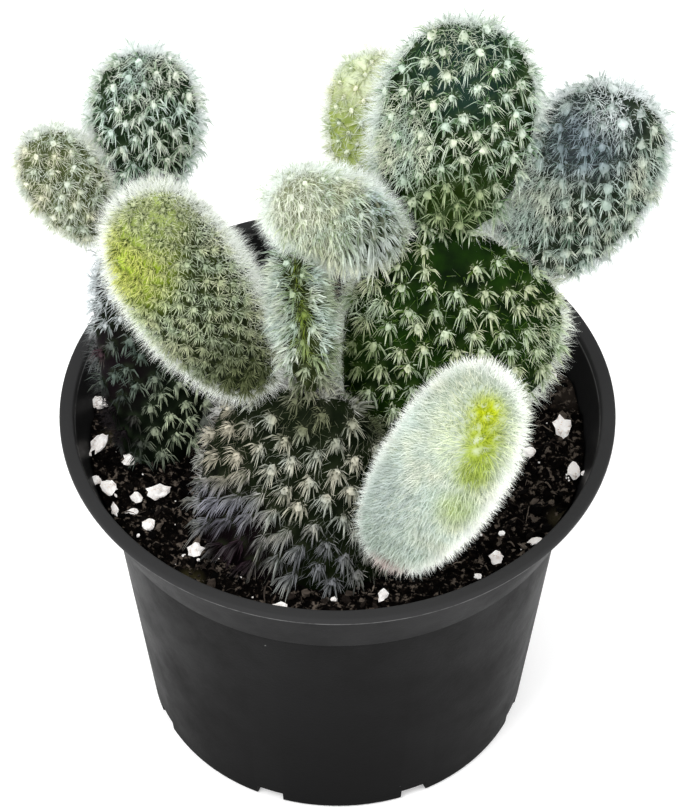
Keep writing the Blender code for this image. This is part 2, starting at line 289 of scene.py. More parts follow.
class Look:
    """A Principled material under construction."""

    def __init__(self, name, roughness, specular=0.5):
        self.material = bpy.data.materials.new(name)
        self.material.use_nodes = True
        self.nodes = self.material.node_tree.nodes
        self.links = self.material.node_tree.links
        self.shader = self.nodes["Principled BSDF"]
        self.fill(self.shader, {"Roughness": roughness, "Specular IOR Level": specular})

    def fill(self, node, sockets):
        """Sets a node's sockets to plain values, or links them to other nodes' outputs."""
        for key, value in sockets.items():
            socket = node.inputs[key]
            if isinstance(value, bpy.types.NodeSocket):
                self.links.new(value, socket)
            elif socket.type == "RGBA":
                socket.default_value = (*value, 1.0)
            else:
                socket.default_value = value
        return node

    def add(self, kind, sockets):
        return self.fill(self.nodes.new(kind), sockets)

    def place(self):
        """A point's place in the object's own coordinates, which are metres in the part's frame."""
        return self.nodes.new("ShaderNodeTexCoord").outputs["Object"]

    def height(self):
        """A point's height above the pot's foot."""
        return self.add("ShaderNodeSeparateXYZ", {0: self.place()}).outputs["Z"]

    def attribute(self, name):
        made = self.nodes.new("ShaderNodeAttribute")
        made.attribute_name = name
        return made.outputs["Fac"]

    def noise(self, scale, detail=3.0, roughness=0.55):
        sockets = {"Vector": self.place(), "Scale": scale, "Detail": detail, "Roughness": roughness}
        return self.add("ShaderNodeTexNoise", sockets).outputs["Fac"]

    def ramp(self, factor, stops):
        made = self.add("ShaderNodeValToRGB", {"Fac": factor})
        band = made.color_ramp
        while len(band.elements) < len(stops):
            band.elements.new(0.5)
        for element, (at, color) in zip(band.elements, stops):
            element.position = at
            element.color = (*color, 1.0)
        return made.outputs["Color"]

    def mix(self, factor, first, second, blend="MIX"):
        """Mixes two colours, each a node's output or a plain colour."""
        made = self.nodes.new("ShaderNodeMix")
        made.data_type = "RGBA"
        made.blend_type = blend
        return self.fill(made, {0: factor, 6: first, 7: second}).outputs[2]

    def number(self, operation, first, second=0.0):
        made = self.nodes.new("ShaderNodeMath")
        made.operation = operation
        return self.fill(made, {0: first, 1: second}).outputs[0]

    def remap(self, value, low, high, to_low=0.0, to_high=1.0):
        """A smooth step of value, from to_low at low to to_high at high."""
        made = self.nodes.new("ShaderNodeMapRange")
        made.interpolation_type = "SMOOTHSTEP"
        sockets = {"Value": value, "From Min": low, "From Max": high, "To Min": to_low, "To Max": to_high}
        return self.fill(made, sockets).outputs["Result"]

    def near_height(self, height, reach):
        """1 at a height above the pot's foot, and 0 further than reach from it."""
        away = self.number("ABSOLUTE", self.number("SUBTRACT", self.height(), height))
        return self.remap(away, 0.0, reach, 1.0, 0.0)

    def patched(self, color, patches):
        """A colour with soft round patches: x, y, z, inner and outer reach and tint of each."""
        for x, y, z, inner, outer, tint in patches:
            away = self.nodes.new("ShaderNodeVectorMath")
            away.operation = "DISTANCE"
            self.fill(away, {0: self.place(), 1: (MM * x, MM * y, MM * z)})
            near = self.remap(away.outputs["Value"], MM * inner, MM * outer, 1.0, 0.0)
            color = self.mix(near, color, tint)
        return color

    def done(self, color, grain, strength, distance):
        """The material, once it has its colour and a bump map of its grain."""
        bump = self.add("ShaderNodeBump", {"Height": grain, "Strength": strength, "Distance": distance})
        self.fill(self.shader, {"Base Color": color, "Normal": bump.outputs["Normal"]})
        return self.material


def skin_material(name, deep, mid, pale, patches=()):
    """Waxy skin: deep green in the hollows, paler on each raised areole."""
    look = Look(name, 0.55, 0.03)
    color = look.patched(look.ramp(look.noise(230.0), [(0.35, deep), (0.68, mid)]), patches)
    raised = look.remap(look.attribute("raised"), 0.25, 1.0, 0.0, 0.8)
    return look.done(look.mix(raised, color, pale), look.noise(2600.0), 0.25, 0.0002)


def wool_material(name, light, root, white, patches=(), over=()):
    """Wool and glochids: light at the tips, tinted by root towards the hairs' roots as painted
    shade, white at margins.

    The margins glow a little: a painted glow that stands in for thin wool with light behind it.
    The patches in over tint the margins and their glow too.
    """
    look = Look(name, 0.85, 0.04)
    drift = look.remap(look.noise(210.0, 2.0), 0.35, 0.65)
    cool, warm = [tuple(np.multiply(light, tint)) for tint in (COOL, WARM)]
    color = look.patched(look.mix(drift, cool, warm), patches)
    edge = look.attribute("edge")
    color = look.patched(look.mix(edge, color, white), over)
    # Painted glow: the margins give out their own colour as light.
    glow = look.mix(edge, (0.0, 0.0, 0.0), color)
    look.fill(look.shader, {"Emission Color": glow, "Emission Strength": GLOW})
    # Painted shade: each hair darkens towards its root, by the colour root.
    shade = look.ramp(look.attribute("shade"), [(0.15, root), (0.85, (1.0, 1.0, 1.0))])
    color = look.mix(1.0, color, shade, "MULTIPLY")
    tone = look.remap(look.noise(420.0, 3.0, 0.7), 0.25, 0.75, 0.70, 1.0)
    color = look.mix(1.0, color, tone, "MULTIPLY")
    return look.done(color, look.noise(5000.0, 2.0), 0.3, 0.0001)


# Pads

class Pad:
    """One pad of the cactus: a flattened, egg-shaped joint between its root and its tip.

    face is the way that its front faces, taper how much it narrows towards its root, and bow
    how far its middle bends sideways. The smaller square is, the squarer is its outline.
    """

    def __init__(self, name, root, tip, face, width, thick, taper=0.3, square=0.8, bow=0.0):
        self.name = name
        self.root = MM * np.array(root)
        along = MM * np.array(tip) - self.root
        self.length = np.linalg.norm(along)
        self.along = along / self.length
        front = np.array(face)
        self.front = unit(front - self.along * (front @ self.along))
        self.across = np.cross(self.along, self.front)
        self.half_width = MM * width / 2.0
        self.half_thick = MM * thick / 2.0
        self.taper = taper
        self.square = square
        self.bow = MM * bow

    def skin(self, climb, turn):
        """Points of the skin: climb runs from 0 at the root to pi at the tip, turn goes round."""
        rise = (1.0 - np.cos(climb)) / 2.0
        neck = self.taper * (1.0 - rise) ** 2
        shape = np.maximum(0.0, np.sin(climb)) ** self.square
        wide = self.half_width * shape * (1.0 - neck) * np.cos(turn)
        wide = wide + self.bow * 4.0 * rise * (1.0 - rise)
        deep = self.half_thick * shape * (1.0 - 0.5 * neck) * np.sin(turn)
        flat = wide[..., None] * self.across - deep[..., None] * self.front
        return self.root + flat + (self.length * rise)[..., None] * self.along

    def surface(self, climb, turn):
        """Points of the skin and their normals."""
        points = self.skin(climb, turn)
        step = 0.002
        climb = np.clip(climb, 0.03, pi - 0.03)
        up = self.skin(climb + step, turn) - self.skin(climb - step, turn)
        around = self.skin(climb, turn + step) - self.skin(climb, turn - step)
        return points, unit(np.cross(around, up))

    def margin(self, normals):
        """0 where a normal points straight out of a face, 1 where it points out of the thin edge."""
        return 1.0 - np.abs(normals @ self.front)

    def edge(self, normals):
        """0 on both faces, and 1 all over the margin."""
        return np.clip((self.margin(normals) - 0.30) * 1.6, 0.0, 1.0)

    def grid(self, rows, columns):
        """Climbs and turns of a grid with even steps along the outline and round each section."""
        climb = np.linspace(0.0, pi, PAD_STEPS)
        rise = self.length * (1.0 - np.cos(climb)) / 2.0
        half = self.half_width * np.sin(climb) ** self.square
        run = np.concatenate(([0.0], np.cumsum(np.hypot(np.diff(rise), np.diff(half)))))
        climbs = np.interp(np.linspace(0.0, run[-1], rows + 1), run, climb)
        turn = np.linspace(0.0, tau, PAD_STEPS)
        pace = np.hypot(self.half_width * np.sin(turn), self.half_thick * np.cos(turn))
        pace = pace + 0.35 * pace.mean()
        path = np.concatenate(([0.0], np.cumsum((pace[1:] + pace[:-1]) / 2.0)))
        turns = np.interp(np.arange(columns) * path[-1] / columns, path, turn)
        return climbs, turns

    def cells(self):
        """Areas of a fine grid of cells, with the climbs and turns of its lines."""
        climb = np.linspace(0.0, pi, CELL_ROWS + 1)
        turn = np.linspace(0.0, tau, CELL_COLUMNS + 1)
        points = self.skin(*np.meshgrid(climb, turn, indexing="ij"))
        up = points[1:, :-1] - points[:-1, :-1]
        side = points[:-1, 1:] - points[:-1, :-1]
        return np.linalg.norm(np.cross(up, side), axis=-1), climb, turn

    def areoles(self, spacing):
        """Climb and turn of each areole, on one spiral that spaces them evenly."""
        area, climb, turn = self.cells()
        rows = area.sum(1)
        count = int(rows.sum() / (spacing * spacing * 0.9))
        share = np.concatenate(([0.0], np.cumsum(rows))) / rows.sum()
        climbs = np.interp((np.arange(count) + 0.5) / count, share, climb)
        turns = np.empty(count)
        for i, value in enumerate(climbs):
            row = min(int(value / pi * CELL_ROWS), CELL_ROWS - 1)
            path = np.concatenate(([0.0], np.cumsum(area[row])))
            turns[i] = np.interp((i * GOLDEN) % 1.0, path / path[-1], turn)
        return climbs, turns

    def scattered(self, rng, count):
        """Climbs and turns of points spread at random, evenly over the skin."""
        area, climb, turn = self.cells()
        chosen = rng.choice(area.size, count, p=(area / area.sum()).ravel())
        row, column = np.unravel_index(chosen, area.shape)
        climbs = climb[row] + rng.uniform(0.0, climb[1], count)
        turns = turn[column] + rng.uniform(0.0, turn[1], count)
        return climbs, turns


def lattice_triangles(rows, columns):
    """Triangles of a closed skin of rings between two pole points."""
    ring = np.arange(columns)
    after = (ring + 1) % columns
    last = 1 + (rows - 2) * columns
    triangles = []
    for low in range(1, last, columns):
        high = low + columns
        triangles += [(low + ring, low + after, high + after), (low + ring, high + after, high + ring)]
    triangles += [(0 * ring, 1 + after, 1 + ring), (last + ring, last + after, 0 * ring + last + columns)]
    return np.concatenate([np.stack(corners, 1) for corners in triangles])


def make_skin(pad, areoles, material, spacing, rise):
    """The pad's skin, higher at its areoles than between them by rise in metres."""
    rows = max(32, int(pad.length / SKIN_ROW))
    columns = max(40, int((pad.half_width + pad.half_thick) * 4.0 / SKIN_COLUMN))
    climbs, turns = pad.grid(rows, columns)
    climb, turn = np.meshgrid(climbs[1:-1], turns, indexing="ij")
    climb = np.concatenate(([0.0], climb.ravel(), [pi]))
    turn = np.concatenate(([0.0], turn.ravel(), [0.0]))
    points, normals = pad.surface(climb, turn)
    normals[0] = -pad.along
    normals[-1] = pad.along
    nearest = np.array([np.linalg.norm(areoles - point, axis=1).min() for point in points])
    raised = np.exp(-(nearest / (0.42 * spacing)) ** 2)
    points = points + normals * ((raised - 0.55) * rise)[:, None]
    triangles = lattice_triangles(rows, columns)
    name = pad.name + "_skin"
    piece = mesh_piece(name, points, triangles, material, pad.name, smooth=True, raised=raised)
    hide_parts(pad.name)


def knobs(rng, roots, normals, margin, size, tone):
    """A lumpy cushion of wool on each areole, leaning down the slope."""
    across, down = tangents(normals)
    axes = np.stack([across, down, normals], 1)
    radius = size * rng.uniform(0.75, 1.15, len(roots))
    sizes = np.stack([radius, radius * 1.15, radius * 0.85], 1)
    places = roots + normals * (0.35 * radius)[:, None] + down * (0.15 * radius)[:, None]
    points, triangles, each = lumps(rng, 1, places, axes, sizes, 0.32)
    shade = tone + rng.uniform(-0.15, 0.15, len(points))
    return points, triangles, shade, np.repeat(margin, each)


def halo(rng, pad, count, length, width, start=0.45, full=0.85, painted_shade_spot=None):
    """Fine hair that stands out all along the pad's thin margin, but not near bald, a spot of
    painted shade.

    start and full are how near the margin the first hairs grow, and how near most of them do.
    """
    roots, normals = pad.surface(*pad.scattered(rng, count * 4))
    odds = np.clip((pad.margin(normals) - start) / (full - start), 0.0, 1.0)
    kept = (rng.random(len(odds)) < odds) & (roots[:, 2] > SOIL_LEVEL + HALO_CLEAR)
    if painted_shade_spot:
        kept &= apart(roots, painted_shade_spot) > 2.0
    kept = np.flatnonzero(kept)[:count]
    roots, normals, odds = roots[kept], normals[kept], odds[kept]
    way = unit(normals * 0.75 + rng.normal(0.0, 0.38, normals.shape) + pad.along * 0.15)
    size = MM * length * rng.uniform(0.55, 1.0, len(roots)) * (0.5 + 0.5 * odds)
    tips = roots + (way + 0.12 * DOWN) * size[:, None]
    thick = MM * width * rng.uniform(0.7, 1.3, len(roots))
    # The halo's hairs take a high tint, so they carry little of the painted root shade.
    return spikes(rng, roots - normals * HAIR_SINK, tips, thick, 0.15 + 0.85 * odds, 0.35 + 0.15 * odds)


def coat(rng, pad, count, length, width, lift=0.4, comb=(0.0, 0.0), flow=0.0, tint=-0.1,
         near=None, painted_shade_spot=None, source=None):
    """Hair from all over the skin, between the tufts too.

    flow is how far it leans away from source, or else from the pad's middle. near and bald are
    x, y, z and reach of a place: hair grows only near the first, and not near the other, where
    the wool is left off so that the dark skin shows as painted shade.
    """
    roots, normals = pad.surface(*pad.scattered(rng, count))
    kept = roots[:, 2] > SOIL_LEVEL + COAT_CLEAR
    if near:
        kept &= rng.random(count) < 1.6 - 1.6 * apart(roots, near)
    if painted_shade_spot:
        kept &= apart(roots, painted_shade_spot) > 1.0
    roots, normals = roots[kept], normals[kept]
    across, down = tangents(normals)
    count = len(roots)
    middle = MM * np.array(source) if source else pad.root + 0.5 * pad.length * pad.along
    out = roots - middle
    out = unit(out - (out @ pad.front)[:, None] * pad.front) * flow
    flat = across * rng.normal(comb[0], 0.5, (count, 1)) + down * rng.normal(comb[1], 0.5, (count, 1))
    way = unit((flat + out) * (1.0 - lift) + normals * lift)
    size = MM * length * rng.uniform(0.45, 1.1, count)
    tips = roots + (way + 0.1 * DOWN) * size[:, None]
    thick = MM * width * rng.uniform(0.7, 1.2, count)
    return spikes(rng, roots - normals * HAIR_SINK, tips, thick, pad.edge(normals), tint)


def make_pad(rng, pad, spacing, knob, skin, wool, layers, fringe, coats=(), hanging=None,
             rise=0.5, bare=0.0, painted_shade_spot=None, knob_tone=0.70):
    """A pad's skin and wool.

    skin and wool hold arguments for the materials, layers for tuft_hairs, fringe for halo and
    coats for coat. No wool grows lower than bare above the mix or near bald, a spot of painted
    shade where the dark skin shows, and hanging is a place and the layers that hang there in
    place of the others.
    """
    spacing, knob, rise = MM * spacing, MM * knob, MM * rise
    points, normals = pad.surface(*pad.areoles(spacing))
    across, down = tangents(normals)
    stray = rng.normal(0.0, 0.07 * spacing, (len(points), 2))
    points = points + across * stray[:, :1] + down * stray[:, 1:]
    seen = points[:, 2] > SOIL_LEVEL + MM * bare
    if painted_shade_spot:
        seen &= apart(points, painted_shade_spot) > 1.0
    points, normals = points[seen], normals[seen]
    material = skin_material(pad.name.replace("pad", "skin", 1), *skin)
    make_skin(pad, points, material, spacing, rise)
    roots = points + normals * 0.3 * rise
    margin = pad.edge(normals)
    parts = [halo(rng, pad, painted_shade_spot=painted_shade_spot, **fringe)]
    if hanging:
        place, locks = hanging
        low = apart(roots, place) < 1.0
        parts += [tuft_hairs(rng, roots[low], normals[low], margin[low], **lock) for lock in locks]
        roots, normals, margin = roots[~low], normals[~low], margin[~low]
    if knob:
        parts += [knobs(rng, roots, normals, margin, knob, knob_tone)]
    parts += [tuft_hairs(rng, roots, normals, margin, **layer) for layer in layers]
    parts += [coat(rng, pad, painted_shade_spot=painted_shade_spot, **layer) for layer in coats]
    points, triangles, shade, edge = joined(parts)
    material = wool_material(pad.name.replace("pad", "wool", 1), *wool)
    name = pad.name + "_wool"
    mesh_piece(name, points, triangles, material, pad.name, shade=shade, edge=edge)


def hairs(count, length, width=0.12, **more):
    """Arguments for halo, coat or tuft_hairs."""
    return dict(count=count, length=length, width=width, **more)


def dome(count, length, spread, width=0.16, hang=0.15):
    """Short dense hairs over an areole's cushion."""
    return hairs(count, length, width, spread=spread, lift=0.45, hang=hang, tint=0.12)


def rays(count, length, width=0.17, locks=8, lift=0.15, hang=0.1, comb=(0.0, 0.0), droop=0.0):
    """Long locks of hair that spread from an areole over the skin."""
    return hairs(count, length, width, spread=0.5, lift=lift, hang=hang, comb=comb, locks=locks,
                 droop=droop, tint=-0.17)


PADS = [dict(
    pad=Pad("pad_front", (-7.6, -31, 42.6), (-5.9, -14, 84.5), (-0.3, -1, 0.4), 32, 12.5, taper=0.05,
            square=0.62),
    spacing=4.2, knob=0.8, knob_tone=0.74, bare=0.6,
    skin=((0.002, 0.004, 0.001), (0.005, 0.009, 0.002), (0.02, 0.025, 0.012), [
        (-18, -26, 59, 6, 16, (0.004, 0.002, 0.003))]),
    # Painted shade: the second wool patch darkens the wool at this pad's top, which lies in the shade of
    # the pads that grow from it.
    wool=((0.68, 0.69, 0.6), (0.11, 0.13, 0.09), (0.5, 0.5, 0.48), [
        (-3, -30, 60, 4, 12, (0.3, 0.31, 0.33)), (-4, -18, 83.5, 3, 9, (0.25, 0.27, 0.16)),
        (-20.9, -18, 77, 3, 9, (0.62, 0.56, 0.44)), (-18, -23, 65, 3, 12, (0.4, 0.4, 0.47)),
        (-17, -18, 74, 3, 9, (0.62, 0.58, 0.46))
    ], [
        (-16, -26, 59, 3, 9, (0.045, 0.026, 0.036)), (5, -17, 80, 2, 8, (0.13, 0.15, 0.08))]),
    layers=[
        dome(30, 2, 1.2, 0.19, hang=0.5),
        rays(28, 3.3, 0.18, locks=10, lift=0.3, hang=0.2, comb=(0.4, 0.5), droop=0.4)],
    coats=[hairs(3000, 2.4, lift=0.2, comb=(0.3, 0.7), tint=-0.2)],
    hanging=((-16, -25, 63, 12), [
        hairs(30, 2, 0.18, spread=0.8, lift=0.3, hang=0.5, comb=(0.6, 1), tint=0.15),
        hairs(40, 5, 0.16, spread=0.6, lift=0.15, hang=0.1, comb=(1.3, 1.7), locks=8, droop=0.5,
              tint=-0.15)]),
    fringe=hairs(2000, 2.4, 0.07)
), dict(
    pad=Pad("pad_main", (6, -15, 66.8), (24, 3, 100.6), (0.05, -1, 0.4), 38.5, 11, taper=0.6, square=0.7,
            bow=1),
    # Painted shade: the bare spot leaves dark skin showing for the shadow under pad_top_ear's base.
    spacing=4, knob=0.65, painted_shade_spot=(18.8, -1.3, 101.4, 3.6),
    skin=((0.002, 0.007, 0.001), (0.007, 0.026, 0.001), (0.03, 0.055, 0.01)),
    wool=((0.8, 0.88, 0.66), (0.11, 0.19, 0.04), (0.9, 0.94, 0.88), [
        (2, -9.9, 86.8, 2, 9, (0.44, 0.52, 0.28))]),
    layers=[
        dome(25, 1.6, 1.1, 0.2, hang=0.3),
        rays(22, 3.2, 0.19, lift=0.25, hang=0.2, comb=(0.1, 0.5), droop=0.4)],
    coats=[
        hairs(1800, 2, lift=0.2, comb=(0.1, 0.4), tint=-0.35),
        hairs(9000, 3.4, lift=0.6, tint=0.2, near=(3.2, -5.6, 95.5, 6)),
        hairs(16000, 6.2, 0.19, lift=0.35, comb=(1.5, 0.4), tint=0.2, near=(-0.2, -5.4, 96.7, 4.6)),
        hairs(9000, 2.6, 0.1, lift=0.6, tint=0.4, near=(35.1, -6.5, 87.8, 8))],
    hanging=((1.2, -6.2, 94.8, 6.2), [
        hairs(46, 2.4, 0.2, spread=1.4, lift=0.3, hang=0.5, comb=(0, 0.5), tint=0.2),
        rays(18, 3.4, 0.19, lift=0.25, hang=0.2, comb=(0.1, 0.7), droop=0.4)]),
    fringe=hairs(9000, 3.8, 0.07, start=0.4, full=0.75)
), dict(
    pad=Pad("pad_left_ear", (-11.9, -14.2, 84.8), (-31.2, -2, 115.6), (-0.15, -1, 0.45), 20.5, 12,
            taper=0.25, bow=-1),
    spacing=2.4, knob=0.45, knob_tone=0.45,
    skin=((0.008, 0.012, 0.004), (0.022, 0.032, 0.008), (0.07, 0.09, 0.03), [
        (-14, -18, 87, 6, 18, (0.006, 0.009, 0.003)), (-33.7, -9.9, 108, 2, 12, (0.42, 0.58, 0.05)),
        (-29, -6.2, 117, 2, 10, (0.36, 0.44, 0.14))]),
    wool=((0.84, 0.92, 0.68), (0.09, 0.13, 0.05), (0.92, 0.95, 0.91), [
        (-33.7, -9.9, 107, 2, 13, (0.96, 1, 0.3)), (-29, -6.2, 118, 2, 10, (0.92, 0.98, 0.6)),
        (-14, -18, 87, 2, 19, (0.22, 0.25, 0.12))]),
    layers=[dome(26, 1.5, 0.8, 0.2), rays(22, 2.1, 0.18, locks=11, lift=0.3, comb=(-0.1, 0.2))],
    coats=[
        hairs(3000, 2, lift=0.3, comb=(-0.3, 0.6), flow=0.5, near=(-27, -7, 108, 19)),
        hairs(6000, 1.8, 0.18, comb=(-0.2, 0.3), tint=0.1, near=(-32, -8, 112, 12))],
    fringe=hairs(8500, 3.7, 0.08, start=0.1, full=0.6)
), dict(
    pad=Pad("pad_edge_on", (-4, -15.4, 85.3), (-7.3, -5.4, 107.1), (-1, -0.1, 0), 15, 8.3, taper=0.35,
            square=0.9),
    spacing=3, knob=0.55,
    skin=((0.008, 0.013, 0.003), (0.024, 0.034, 0.008), (0.08, 0.1, 0.04)),
    wool=((0.88, 0.98, 0.91), (0.13, 0.19, 0.08), (0.23, 0.31, 0.03), [
        (1, -10, 101, 2, 6.5, (0.47, 0.55, 0.37)), (1, -15, 92, 2, 6.5, (0.46, 0.54, 0.35))
    ], [
        (-4.5, -19, 86, 2, 10, (0.38, 0.38, 0.28))]),
    layers=[dome(20, 1.5, 0.9), rays(24, 3.4, lift=0.35, droop=0.4)],
    coats=[hairs(6000, 3, 0.14, lift=0.7, tint=0.2, near=(-8.5, -12, 101, 9))],
    fringe=hairs(300, 2, 0.07)
), dict(
    pad=Pad("pad_top_ear", (15.8, 3.3, 101.3), (21, 15, 135.8), (0, -1, 0.4), 24.8, 10, taper=0.1),
    spacing=3.7, knob=0.75,
    skin=((0.002, 0.007, 0.001), (0.01, 0.026, 0.004), (0.05, 0.08, 0.03), [
        (19, 9.5, 131, 3, 12, (0.012, 0.03, 0.022)), (18.3, 2.3, 109.2, 3, 10, (0.012, 0.026, 0.002))]),
    wool=((0.84, 0.93, 0.8), (0.12, 0.22, 0.1), (0.86, 0.91, 0.88), [
        (18.3, 2.3, 109.2, 3, 11, (0.44, 0.52, 0.28))]),
    layers=[dome(30, 1.5, 1), rays(22, 3.6, lift=0.25, droop=0.4)],
    coats=[
        hairs(1500, 2.2, lift=0.2, comb=(0, 0.4), tint=-0.25),
        hairs(8000, 2.2, tint=0.1, near=(19.5, 11.5, 135.5, 7)),
        hairs(17000, 2.6, 0.15, lift=0.5, tint=0.4, near=(9.7, 5.4, 118.2, 7.2)),
        hairs(8000, 2.4, 0.14, lift=0.5, tint=0.4, near=(10, 7.3, 123.9, 6))],
    fringe=hairs(9000, 5, 0.08, start=0.35)
), dict(
    pad=Pad("pad_right_ear", (29, 3.8, 93), (45.9, 10.8, 124.8), (-0.1, -1, 0.4), 23, 10, taper=0.1),
    spacing=3.4, knob=0.85, knob_tone=0.52,
    skin=((0.005, 0.01, 0.005), (0.016, 0.026, 0.013), (0.06, 0.08, 0.05), [
        (38.5, 6.5, 119, 3, 11, (0.03, 0.038, 0.042))]),
    wool=((0.74, 0.82, 0.73), (0.15, 0.22, 0.17), (0.86, 0.9, 0.9), [
        (38.5, 6.5, 119, 3, 11, (0.37, 0.45, 0.5)), (43.4, 7.6, 125.2, 2, 8, (0.94, 1, 1))]),
    layers=[dome(28, 1.6, 1.1), rays(21, 3.3, locks=7, lift=0.25, comb=(0.1, 0.1), droop=0.5)],
    coats=[
        hairs(1500, 2, lift=0.2, comb=(0.1, 0.4), tint=-0.25),
        hairs(7000, 1.8, lift=0.3, comb=(0.3, 0.3), near=(38.5, 7.5, 120, 9)),
        hairs(14000, 3, 0.13, lift=0.6, tint=0.4, near=(30.1, 4.7, 109, 8.5)),
        hairs(12000, 2.8, 0.17, lift=0.6, tint=0.4, near=(40.6, 7.4, 123.2, 6.4)),
        hairs(9000, 2.8, 0.15, lift=0.6, tint=0.4, near=(48.6, 3.4, 113.7, 6.5))],
    fringe=hairs(9000, 4.4, 0.08, start=0.3)
), dict(
    pad=Pad("pad_small_front", (9.6, 0.6, 101.4), (-9.8, -4.6, 119), (0, -1, 0.7), 14, 9, taper=0.2,
            square=0.85),
    # Painted shade: the bare spot near this pad's root leaves dark skin showing as shade.
    spacing=2.5, knob=0.5, painted_shade_spot=(9.5, -3.8, 98.2, 3.4),
    skin=((0.2, 0.22, 0.13), (0.32, 0.34, 0.22), (0.4, 0.42, 0.3), [
        (7, -2, 109, 4, 11, (0.015, 0.03, 0.01))]),
    wool=((0.84, 0.91, 0.78), (0.38, 0.45, 0.29), (0.92, 0.97, 0.93), [
        (-7.3, -7, 118.7, 2, 9, (0.97, 1, 0.88)), (7, -4, 108, 3, 9, (0.6, 0.66, 0.62)),
        (7.4, -0.7, 113.3, 1, 5.5, (0.62, 0.74, 0.76))]),
    layers=[dome(18, 1.5, 1, hang=0.3), rays(16, 2.8, lift=0.35, hang=0.3, comb=(0, 0.4), droop=0.5)],
    coats=[
        hairs(6500, 2.6, 0.13, lift=0.3, comb=(0, 0.6), flow=0.3, tint=0.15,
              near=(-5.8, -7.4, 114.7, 12))],
    hanging=((2.9, -5.9, 104.4, 6), [
        hairs(40, 3.3, 0.19, spread=1, lift=0.2, hang=0.6, comb=(0, 1.1), locks=7, droop=0.3, tint=0.1)]),
    fringe=hairs(5500, 3.8, 0.07, start=0.25, full=0.75)
), dict(
    pad=Pad("pad_small_rear", (10.2, 5.4, 95.6), (4.9, 22.6, 122), (-0.2, -1, 0.5), 18, 8, square=0.85),
    spacing=2.6, knob=0.45,
    skin=((0.24, 0.31, 0.06), (0.38, 0.46, 0.12), (0.5, 0.58, 0.24), [
        (4.9, 21.5, 120, 2, 10, (0.72, 0.78, 0.56))]),
    wool=((0.96, 0.99, 0.84), (0.56, 0.62, 0.38), (0.92, 0.95, 0.9)),
    layers=[dome(18, 1.2, 0.8), rays(24, 2.6)],
    coats=[hairs(2500, 2.2, lift=0.35, tint=0.1, near=(5, 21.5, 120.5, 10))],
    fringe=hairs(6000, 4.2, 0.09, start=0.25, full=0.7)
), dict(
    pad=Pad("pad_new_wool", (7.5, -33, 66.6), (24.9, -25.5, 99), (-0.7, -1, 0.2), 17.7, 12.2, taper=0.05,
            square=0.7, bow=0.5),
    spacing=2, knob=0, rise=0,
    skin=((0.42, 0.48, 0.4), (0.5, 0.56, 0.48), (0.55, 0.6, 0.5), [
        (23, -30.9, 97.1, 1, 4.2, (0.48, 0.56, 0.01)), (22.5, -32.6, 93.5, 1, 4.4, (0.38, 0.46, 0.03)),
        (21.9, -33.7, 90.5, 1, 3.6, (0.34, 0.42, 0.05)), (21, -34.8, 87.6, 1, 4.2, (0.28, 0.36, 0.06)),
        (18.6, -36.8, 81.4, 1, 4.6, (0.32, 0.4, 0.14))]),
    wool=((0.88, 0.94, 0.86), (0.41, 0.49, 0.39), (0.96, 0.98, 0.94), [
        (5.4, -33.2, 74, 3, 14, (0.6, 0.69, 0.63)), (22.5, -32.5, 93, 3, 11, (0.92, 0.99, 0.7)),
        (18.6, -36.8, 81.4, 1, 5.5, (0.7, 0.8, 0.5)), (21, -34.8, 87.6, 1, 4.8, (0.52, 0.63, 0.14)),
        (21.9, -33.7, 90.5, 1, 4.2, (0.56, 0.68, 0.1)), (22.5, -32.6, 93.5, 1, 4.8, (0.58, 0.68, 0.05)),
        (23, -30.9, 97.1, 1, 4.6, (0.66, 0.74, 0.02))
    ], [
        (8.5, -32.2, 79.2, 2, 9, (0.66, 0.74, 0.71)), (8, -35, 66.5, 1, 4.5, (0.62, 0.5, 0.47))]),
    layers=[],
    coats=[
        hairs(5500, 1.5, 0.14, lift=0.5, flow=0.8, tint=0),
        hairs(9500, 2.8, 0.17, lift=0.35, comb=(0.1, 0.1), flow=1, tint=0.15, source=(21.7, -33.2, 91.5))],
    fringe=hairs(4500, 2.7, 0.16, start=0.3, full=0.8)
), dict(
    pad=Pad("pad_rear_base", (-29.8, -7, 44.5), (-29.7, 12, 98.4), (0, -1, 0.3), 22.5, 11, taper=0.75,
            square=0.85, bow=0.6),
    spacing=3.7, knob=0.6, bare=0.6,
    skin=((0.002, 0.003, 0.002), (0.004, 0.008, 0.003), (0.02, 0.03, 0.015), [
        (-38, 0, 74, 4, 12, (0.004, 0.002, 0.003))]),
    # Painted shade: this pad stands in the shade behind pad_left_ear, so its wool and margins are given a
    # near-black colour, darkest at the left; the patches at its lower right and upper left are paler.
    wool=((0.19, 0.24, 0.2), (0.09, 0.12, 0.1), (0.14, 0.15, 0.15), [
        (-24, -3, 66, 3, 12, (0.84, 0.94, 0.66)), (-38.5, 2, 76, 1, 5, (0.09, 0.05, 0.062))
    ], [
        (-36, -3, 64, 3, 10, (0.022, 0.018, 0.02)), (-40, 6, 89, 8, 13, (0.88, 0.93, 0.95))]),
    layers=[dome(24, 1.3, 0.8), rays(21, 3.2, locks=7, hang=0.15, droop=0.5)],
    coats=[hairs(9000, 3.6, lift=0.7, tint=0.4, near=(-40, 6, 89, 10))],
    fringe=hairs(3000, 3.4, 0.07)
), dict(
    pad=Pad("pad_rear_top", (-30.1, 12.8, 98.9), (-30.4, 20, 125), (0, -1, 0.4), 18.3, 9, taper=0.35,
            square=0.85),
    spacing=3.1, knob=0.62,
    skin=((0.004, 0.01, 0.004), (0.012, 0.026, 0.009), (0.05, 0.08, 0.04)),
    wool=((0.92, 1, 0.93), (0.24, 0.34, 0.24), (0.9, 0.94, 0.93)),
    layers=[dome(28, 1.3, 0.9), rays(21, 3.4, locks=7, lift=0.25, droop=0.5)],
    coats=[
        hairs(1200, 2, lift=0.2, comb=(0, 0.4), tint=-0.2),
